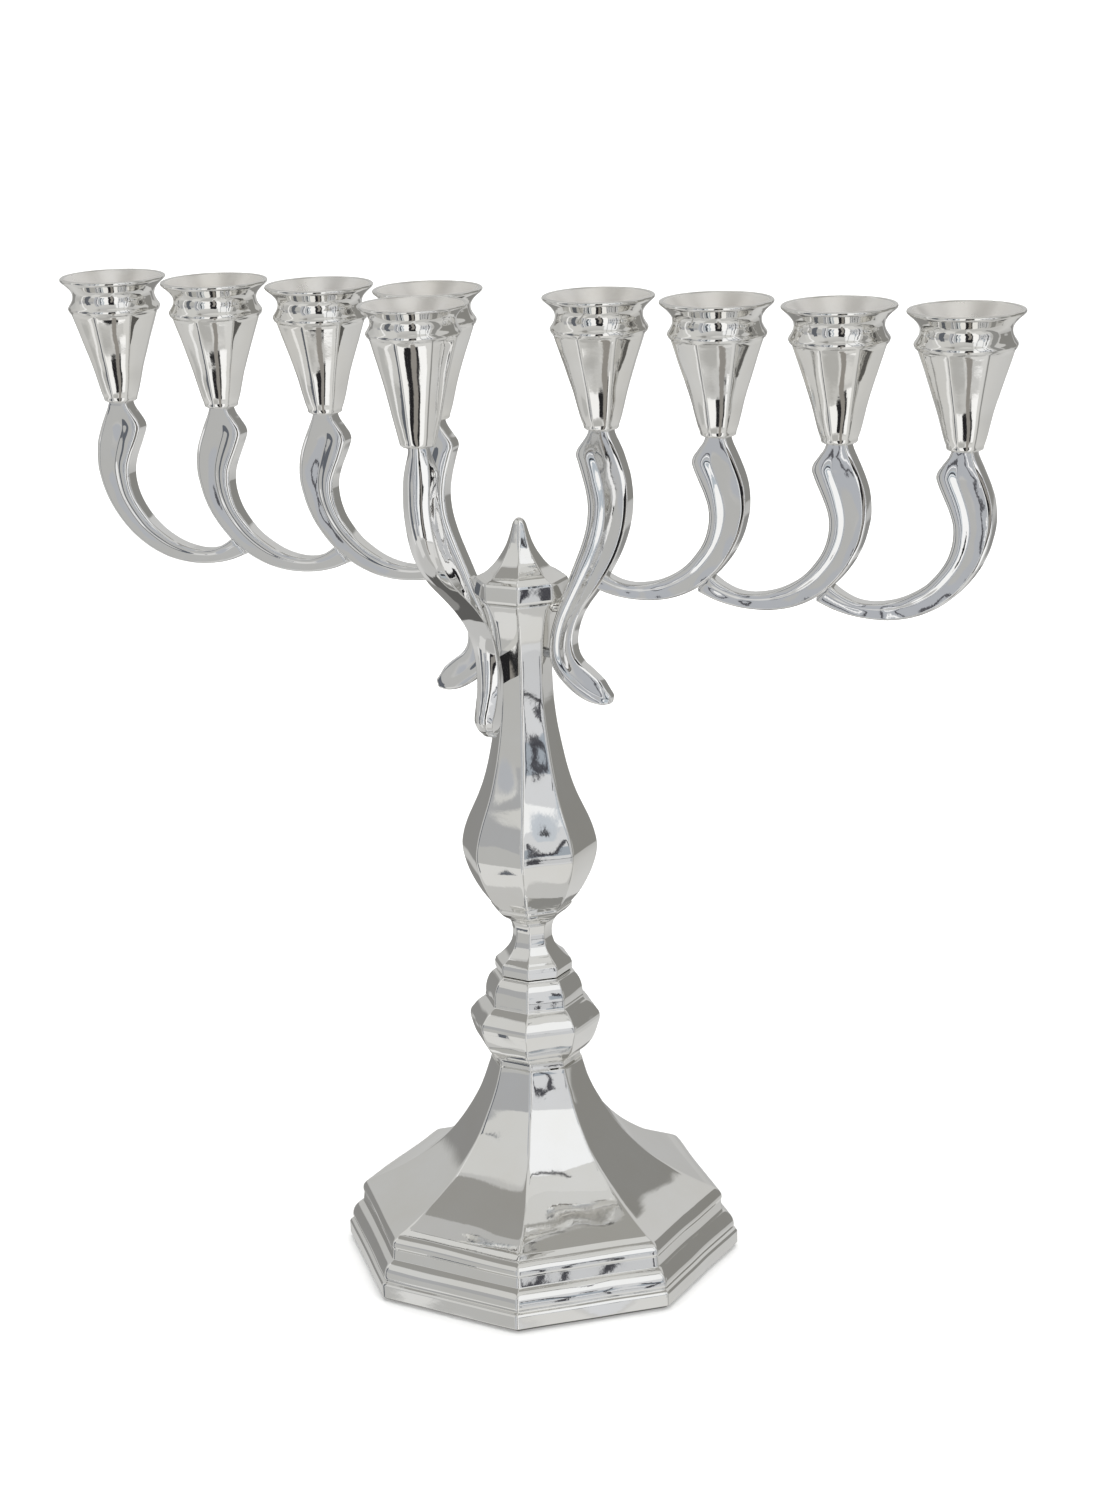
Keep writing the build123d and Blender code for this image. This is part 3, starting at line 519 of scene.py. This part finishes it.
def wing_section(w, t, rib):
    """Side walls of nearly full thickness, and a face with a half-round rib near its inner edge."""
    half = [
        (-w, 0.70 * t, 0.45), (-0.84 * w, (0.90 + 0.04 * rib) * t, 0.7), (-0.50 * w, t * (0.92 + 0.08 * rib), 1.2),
        (-0.12 * w, t * (0.92 - 0.12 * rib), 0.4), (0.34 * w, t * (0.93 - 0.05 * rib), 1.4), (0.80 * w, 0.90 * t, 0.25),
        (w, 0.74 * t, 0.35),
    ]
    return rounded_outline(half + [(x, -y, r) for x, y, r in half[::-1]], 5)


def front_section(w, t, rib):
    """Outer side as two broad bevels meeting in a round nose, and a flat side with a second faint ridge."""
    k = min(1.0, w / 3.0)
    half = [
        (-w, 0.50 * t, 0.6), (-0.55 * w, 0.88 * t, 0.5), (min(-0.08 * w, w - 4.2), 0.93 * t, 0.4),
        (w - 2.6 * k, t, 0.5), (w - 0.62 * k, 0.34 * t, 1.6),
    ]
    return rounded_outline(half + [(x, -y, q) for x, y, q in half[::-1]], 5)


def arm(name, node, stations, shift, side, along, seed, steps=6, material=None):
    """One arm. along is 'x' for the wings and '-y' for the forward arm; side is +1 or -1 for the right or left wing."""
    inner = catmull([s[0] for s in stations], steps)
    outer = catmull([s[1] for s in stations], steps)
    thick = catmull([(i, s[2]) for i, s in enumerate(stations)], steps)[:, 1]
    n = len(inner)
    swell = Swell(seed, 7.0, 22.0, 0.10, 12)
    rings = []
    for i in range(n):
        a, b, t = inner[i], outer[i], thick[i]
        mid, half = (a + b) / 2, np.linalg.norm(b - a) / 2
        across = (b - a) / max(2 * half, 1e-6)
        u = i / (n - 1)
        rib = min(1.0, max(0.0, (u - 0.10) / 0.10)) * (1.0 - 0.7 * max(0.0, (u - 0.55) / 0.45))
        sec = (wing_section if along == "x" else front_section)(half, t / 2, rib)
        flat = mid[None, :] + sec[:, :1] * across[None, :]
        p = np.stack([flat[:, 0] + shift, sec[:, 1], flat[:, 1]], 1)
        push = swell(p) * (0.0 if i < 3 else 1.0)
        p[:, 1] += push * np.sign(sec[:, 1]) * np.minimum(1.0, np.abs(sec[:, 1]) / (0.5 * t))
        if along == "x":
            p[:, 0] *= side
        else:
            p = np.stack([p[:, 1], -p[:, 0], p[:, 2]], 1)
        rings.append(p)
    # a rounded end instead of a cut one
    last, prev = rings[-1], rings[-2]
    centre = last.mean(0)
    step = centre - prev.mean(0)
    step = step / max(np.linalg.norm(step), 1e-6)
    reach = 0.35 * np.linalg.norm(outer[-1] - inner[-1]) * 0.5
    for f, g in ((0.45, 0.86), (0.8, 0.58), (0.97, 0.24)):
        rings.append(centre + (last - centre) * g + step * reach * f)
    obj = mesh_from_rings(name, rings, high_point=centre + step * reach)
    stands_for(obj, node, "frame", material or SILVER_ARM)
    return obj


for side, word in ((1, "right"), (-1, "left")):
    arm(f"arm_{word}_1", f"{word}_arm_1", S_ARM, 0.0, side, "x", 60 + side)
    for k in (2, 3, 4):
        arm(f"arm_{word}_{k}", f"{word}_arm_{k}", C_ARM, CUP_X[k - 1], side, "x", 60 + 5 * k + side)
arm("arm_shamash", "shamash_arm", F_ARM, 0.0, 1, "-y", 90)

# ------------------------------------------------------------------ CAD nodes that stay as they are

LOOK = {"polished_silver": SILVER, "steel": STEEL, "felt": FELT, "ballast": IRON}
slot_of = {s["node"]: s["material_slot"] for s in frame["record"]["subparts"]}
for node, obj in frame["nodes"].items():
    if not obj.hide_render:
        paint(obj, LOOK[slot_of[node]])

# ------------------------------------------------------------------ studio


def paper(name, value):
    m, n, l, b = node_material(name)
    b.inputs["Base Color"].default_value = (value, value, value * 0.995, 1)
    b.inputs["Roughness"].default_value = 0.9
    return m


def backdrop():
    """A pale floor that sweeps up into the background."""
    bm = bmesh.new()
    rows = []
    path = [(-9.0, 0.0), (-4.0, 0.0), (-1.0, 0.0), (0.0, 0.0), (0.9, 0.0), (1.3, 0.0)]
    for k in range(1, 13):
        a = math.pi / 2 * k / 12
        path.append((1.3 + 0.6 * math.sin(a), 0.6 - 0.6 * math.cos(a)))
    path.append((1.9, 3.2))
    turn = math.radians(25.11)
    for d, z in path:
        row = []
        for s in (-9.0, -3.0, 3.0, 9.0):
            row.append(bm.verts.new((s * math.cos(turn) - d * math.sin(turn), s * math.sin(turn) + d * math.cos(turn), z)))
        rows.append(row)
    for a, b in zip(rows[:-1], rows[1:]):
        for k in range(3):
            bm.faces.new((a[k], a[k + 1], b[k + 1], b[k]))
    mesh = bpy.data.meshes.new("floor")
    bm.to_mesh(mesh)
    bm.free()
    for p in mesh.polygons:
        p.use_smooth = True
    obj = bpy.data.objects.new("floor", mesh)
    bpy.context.scene.collection.objects.link(obj)
    obj.data.materials.append(paper("floor_paper", 0.93))
    obj.visible_glossy = False
    return obj


def surround():
    """A plain pale wall all round, far off, for the views that look past the paper's edge."""
    bm = bmesh.new()
    rows = []
    for z in (-0.4, 0.0, 2.0, 4.5, 7.0):
        rows.append([bm.verts.new((12.6 * math.cos(2 * math.pi * k / 96), 12.6 * math.sin(2 * math.pi * k / 96), z))
                     for k in range(96)])
    for a, b in zip(rows[:-1], rows[1:]):
        for k in range(96):
            bm.faces.new((a[k], b[k], b[(k + 1) % 96], a[(k + 1) % 96]))
    mesh = bpy.data.meshes.new("wall")
    bm.to_mesh(mesh)
    bm.free()
    for p in mesh.polygons:
        p.use_smooth = True
    obj = bpy.data.objects.new("wall", mesh)
    bpy.context.scene.collection.objects.link(obj)
    m = paper("wall_paper", 0.93)
    b = m.node_tree.nodes["Principled BSDF"]
    b.inputs["Emission Color"].default_value = (0.93, 0.93, 0.925, 1)
    b.inputs["Emission Strength"].default_value = 0.5
    obj.data.materials.append(m)
    obj.visible_glossy = False
    obj.visible_diffuse = False
    obj.visible_shadow = False
    return obj


backdrop()
surround()

YAW, PITCH, ROLL = math.radians(25.11), math.radians(17.09), math.radians(-1.7)
fwd = Vector((-math.sin(YAW) * math.cos(PITCH), math.cos(YAW) * math.cos(PITCH), -math.sin(PITCH)))
right = Vector((math.cos(YAW), math.sin(YAW), 0.0))
up = right.cross(fwd)
r2 = math.cos(ROLL) * right + math.sin(ROLL) * up
u2 = -math.sin(ROLL) * right + math.cos(ROLL) * up
cam_data = bpy.data.cameras.new("camera")
cam = bpy.data.objects.new("camera", cam_data)
bpy.context.scene.collection.objects.link(cam)
rot = Matrix((r2, u2, -fwd)).transposed()
cam.matrix_world = Matrix.Translation(Vector((418.58, -870.17, 482.51)) * MM) @ rot.to_4x4()
cam_data.sensor_fit = "AUTO"
cam_data.sensor_width = 36.0
cam_data.lens = 2944.46 * 36.0 / 1498.0
cam_data.clip_start, cam_data.clip_end = 0.01, 30.0
bpy.context.scene.camera = cam


def area(name, place, aim, w, h, power, colour=(1, 1, 1), seen=False):
    d = bpy.data.lights.new(name, "AREA")
    d.shape = "RECTANGLE"
    d.size, d.size_y = w, h
    d.energy = power
    d.color = colour
    o = bpy.data.objects.new(name, d)
    bpy.context.scene.collection.objects.link(o)
    o.location = place
    o.rotation_euler = (Vector(aim) - Vector(place)).to_track_quat("-Z", "Y").to_euler()
    o.visible_camera = seen
    o.visible_glossy = seen
    return o


def from_view(angle, distance, height):
    """A point round the object: angle 0 is towards the camera, positive to its right."""
    a = YAW + math.radians(angle)
    return (distance * math.sin(a), -distance * math.cos(a), height)


mid = (0.0, 0.0, 0.2)
area("key_right", from_view(42, 1.5, 0.95), mid, 1.1, 1.3, 9)
area("fill_left", from_view(-62, 1.6, 0.8), mid, 1.0, 1.2, 5)
area("top", (0.0, 0.1, 1.7), mid, 1.8, 1.6, 22)
area("back_wash", from_view(180, 1.0, 1.4), from_view(180, 1.9, 0.6), 2.4, 1.0, 16)


def room():
    """The studio round the object: pale walls, soft boxes, dark gaps and the dark of the camera stand."""
    world = bpy.data.worlds.new("studio")
    bpy.context.scene.world = world
    world.use_nodes = True
    n, l = world.node_tree.nodes, world.node_tree.links
    bg = n["Background"]
    tc = n.new("ShaderNodeTexCoord")
    rot = n.new("ShaderNodeVectorRotate")
    rot.rotation_type = "Z_AXIS"
    rot.inputs["Angle"].default_value = -YAW
    l.new(tc.outputs["Generated"], rot.inputs["Vector"])
    sep = n.new("ShaderNodeSeparateXYZ")

    def math_node(op, a, b=None, clamp=False):
        m = n.new("ShaderNodeMath")
        m.operation = op
        m.use_clamp = clamp
        for k, v in enumerate((a, b)):
            if v is None:
                continue
            if isinstance(v, (int, float)):
                m.inputs[k].default_value = v
            else:
                l.new(v, m.inputs[k])
        return m.outputs[0]

    way = rot.outputs["Vector"]
    for scale, amount in ((1.8, 0.15), (6.5, 0.045)):
        no = n.new("ShaderNodeTexNoise")
        no.inputs["Scale"].default_value = scale
        no.inputs["Detail"].default_value = 1.0
        l.new(rot.outputs["Vector"], no.inputs["Vector"])
        shift = n.new("ShaderNodeVectorMath")
        shift.operation = "MULTIPLY_ADD"
        shift.inputs[1].default_value = (amount, amount, amount)
        shift.inputs[2].default_value = (-amount / 2, -amount / 2, -amount / 2)
        l.new(no.outputs["Color"], shift.inputs[0])
        added = n.new("ShaderNodeVectorMath")
        added.operation = "ADD"
        l.new(way, added.inputs[0])
        l.new(shift.outputs["Vector"], added.inputs[1])
        way = added.outputs["Vector"]
    unit_way = n.new("ShaderNodeVectorMath")
    unit_way.operation = "NORMALIZE"
    l.new(way, unit_way.inputs[0])
    l.new(unit_way.outputs["Vector"], sep.inputs["Vector"])
    az = math_node("MULTIPLY", math_node("ARCTAN2", sep.outputs["X"], math_node("MULTIPLY", sep.outputs["Y"], -1.0)),
                   180 / math.pi)
    el = math_node("MULTIPLY", math_node("ARCSINE", sep.outputs["Z"]), 180 / math.pi)

    wall = n.new("ShaderNodeValToRGB")
    unit = n.new("ShaderNodeMapRange")
    unit.inputs["From Min"].default_value = -90.0
    unit.inputs["From Max"].default_value = 90.0
    l.new(el, unit.inputs["Value"])
    l.new(unit.outputs["Result"], wall.inputs["Fac"])
    e = wall.color_ramp.elements
    stops = [(-90, 0.56), (-52, 0.57), (-36, 0.66), (-24, 0.58), (-12, 0.50), (0, 0.50), (12, 0.58), (42, 0.62), (58, 0.52), (74, 0.46), (90, 0.60)]
    while len(e) < len(stops):
        e.new(0.5)
    for k, (d, v) in enumerate(stops):
        e[k].position = (d + 90) / 180
        e[k].color = (v, v * 0.997, v * 0.98, 1)
    colour = wall.outputs["Color"]

    def edge(value, at, soft, rising):
        m = n.new("ShaderNodeMapRange")
        m.interpolation_type = "SMOOTHSTEP"
        m.inputs["From Min"].default_value = at - soft
        m.inputs["From Max"].default_value = at + soft
        m.inputs["To Min"].default_value = 0.0 if rising else 1.0
        m.inputs["To Max"].default_value = 1.0 if rising else 0.0
        l.new(value, m.inputs["Value"])
        return m.outputs["Result"]

    for a0, a1, e0, e1, soft, rgb in PANELS:
        mask = math_node("MULTIPLY", edge(az, a0, soft, True), edge(az, a1, soft, False))
        mask = math_node("MULTIPLY", mask, edge(el, e0, soft, True))
        mask = math_node("MULTIPLY", mask, edge(el, e1, soft, False))
        mx = n.new("ShaderNodeMix")
        mx.data_type = "RGBA"
        l.new(mask, mx.inputs["Factor"])
        l.new(colour, mx.inputs["A"])
        mx.inputs["B"].default_value = (*rgb, 1)
        colour = mx.outputs["Result"]
    l.new(colour, bg.inputs["Color"])
    bg.inputs["Strength"].default_value = 1.0
    world.cycles.sampling_method = "NONE"


# Panels of the studio: from and to in azimuth (0 at the camera, positive to its right), from and to in height,
# softness of the edge, all in degrees, then the brightness.
PANELS = [
    # floor in front, shaded on the right by the camera stand, and the shade under the object
    (-42, -5, -95, -46.5, 1.2, (0.48, 0.477, 0.465)),
    (-5, 16, -95, -46.5, 1.2, (0.74, 0.737, 0.725)),
    (-78, -43, -64, -27, 1.0, (0.73, 0.728, 0.715)),
    (16, 46, -64, -29, 1.0, (0.72, 0.718, 0.705)),
    (132, 185, -95, -45, 1.5, (0.12, 0.118, 0.114)),
    (-185, -146, -95, -45, 1.5, (0.12, 0.118, 0.114)),
    # the walls beside the camera
    (-185, -122, -20, 50, 6.0, (0.53, 0.53, 0.52)),
    (-150, -128, -26, 10, 2.0, (0.28, 0.278, 0.272)),
    (140, 154, -26, 10, 2.0, (0.28, 0.278, 0.272)),
    (-104, -52, 14, 52, 0.8, (0.66, 0.66, 0.645)),
    (-104, -54, -30, 3, 0.8, (0.50, 0.50, 0.49)),
    (-104, -54, 3, 22.5, 0.8, (0.42, 0.425, 0.435)),
    (-52, -36, -40, 40, 1.2, (0.47, 0.485, 0.515)),
    (-45.1, -43.7, -40, 40, 0.3, (0.10, 0.10, 0.11)),
    (-41.4, -39.8, -40, 40, 0.3, (1.0, 1.0, 1.0)),
    (-79, -67, -42, 30, 0.5, (0.13, 0.14, 0.16)),
    (-93, -88, -42, 60, 0.5, (0.92, 0.92, 0.92)),
    (-118, -40, 54, 89, 0.5, (0.33, 0.325, 0.31)),
    (84, 150, 60, 88, 0.8, (0.36, 0.355, 0.335)),
    (-178, -128, 47, 59.5, 0.6, (0.70, 0.70, 0.685)),
    (-178, -130, 63, 72, 0.5, (0.98, 0.98, 0.97)),
    (-178, -130, 59.5, 61, 0.4, (0.07, 0.07, 0.07)),
    # soft box at the right of the camera, with its frame and the bluish daylight beside it
    (14, 54, -28, 54, 0.8, (0.70, 0.71, 0.73)),
    (14, 54, 22, 54, 0.6, (0.96, 0.97, 0.98)),
    (14, 54, -23, -9, 0.6, (0.62, 0.63, 0.65)),
    (14, 54, 54, 80, 0.5, (0.70, 0.70, 0.685)),
    (54, 84, 58, 88, 0.5, (0.66, 0.66, 0.645)),
    (-40, 14, 60, 88, 0.5, (0.68, 0.68, 0.665)),
    (150, 185, 60, 88, 0.5, (0.68, 0.68, 0.665)),
    (-185, -122, 72.5, 90, 0.5, (0.64, 0.64, 0.625)),
    (25.5, 34, 0, 9, 0.5, (0.38, 0.42, 0.47)),
    (36.5, 42, 14, 32, 0.5, (0.58, 0.62, 0.67)),
    (38.6, 39.6, -30, 60, 0.25, (0.05, 0.05, 0.055)),
    (21.6, 22.5, -30, 60, 0.25, (0.05, 0.05, 0.055)),
    (33.2, 34.4, -20, 15, 0.25, (0.06, 0.06, 0.07)),
    (27.6, 28.9, -20, 15, 0.25, (0.06, 0.06, 0.07)),
    (14, 54, -10, -8.8, 0.25, (0.06, 0.06, 0.065)),
    (46.5, 49.0, -30, 50, 0.4, (0.05, 0.05, 0.055)),
    # dark side of the room
    (62, 78, -60, 50, 1.0, (0.30, 0.30, 0.292)),
    (84, 136, -12, 34, 0.8, (0.265, 0.262, 0.248)),
    (98, 110, -9, 3, 1.0, (0.50, 0.50, 0.49)),
    # dark gap behind the object, low down
    (158, 185, -48, -17.5, 1.0, (0.27, 0.267, 0.258)),
    (-185, -158, -48, -17.5, 1.0, (0.27, 0.267, 0.258)),
    # camera stand between two white cards, the left one half covered by blue cloth
    (-33, -9, -44.5, 34, 0.6, (1.02, 1.02, 1.015)),
    (-34, -22, -33, 36, 0.6, (0.50, 0.55, 0.60)),
    (-31.6, -28.8, -33, 36, 0.3, (0.05, 0.05, 0.06)),
    (-27.0, -25.4, -33, 36, 0.25, (1.02, 1.02, 1.02)),
    (9, 20, -44.5, 34, 0.6, (1.06, 1.06, 1.06)),
    (-10, 9, -44, 38, 0.5, (0.02, 0.02, 0.022)),
    (-2, 5.5, -62, 12, 0.5, (0.30, 0.285, 0.265)),
    # overhead
    (-185, 185, 84, 95, 0.8, (0.60, 0.595, 0.58)),
]
room()

scene = bpy.context.scene
scene.view_settings.view_transform = "Standard"
scene.view_settings.look = "None"
scene.view_settings.exposure = 0.0
scene.cycles.max_bounces = 8
scene.cycles.glossy_bounces = 6
scene.cycles.use_denoising = True
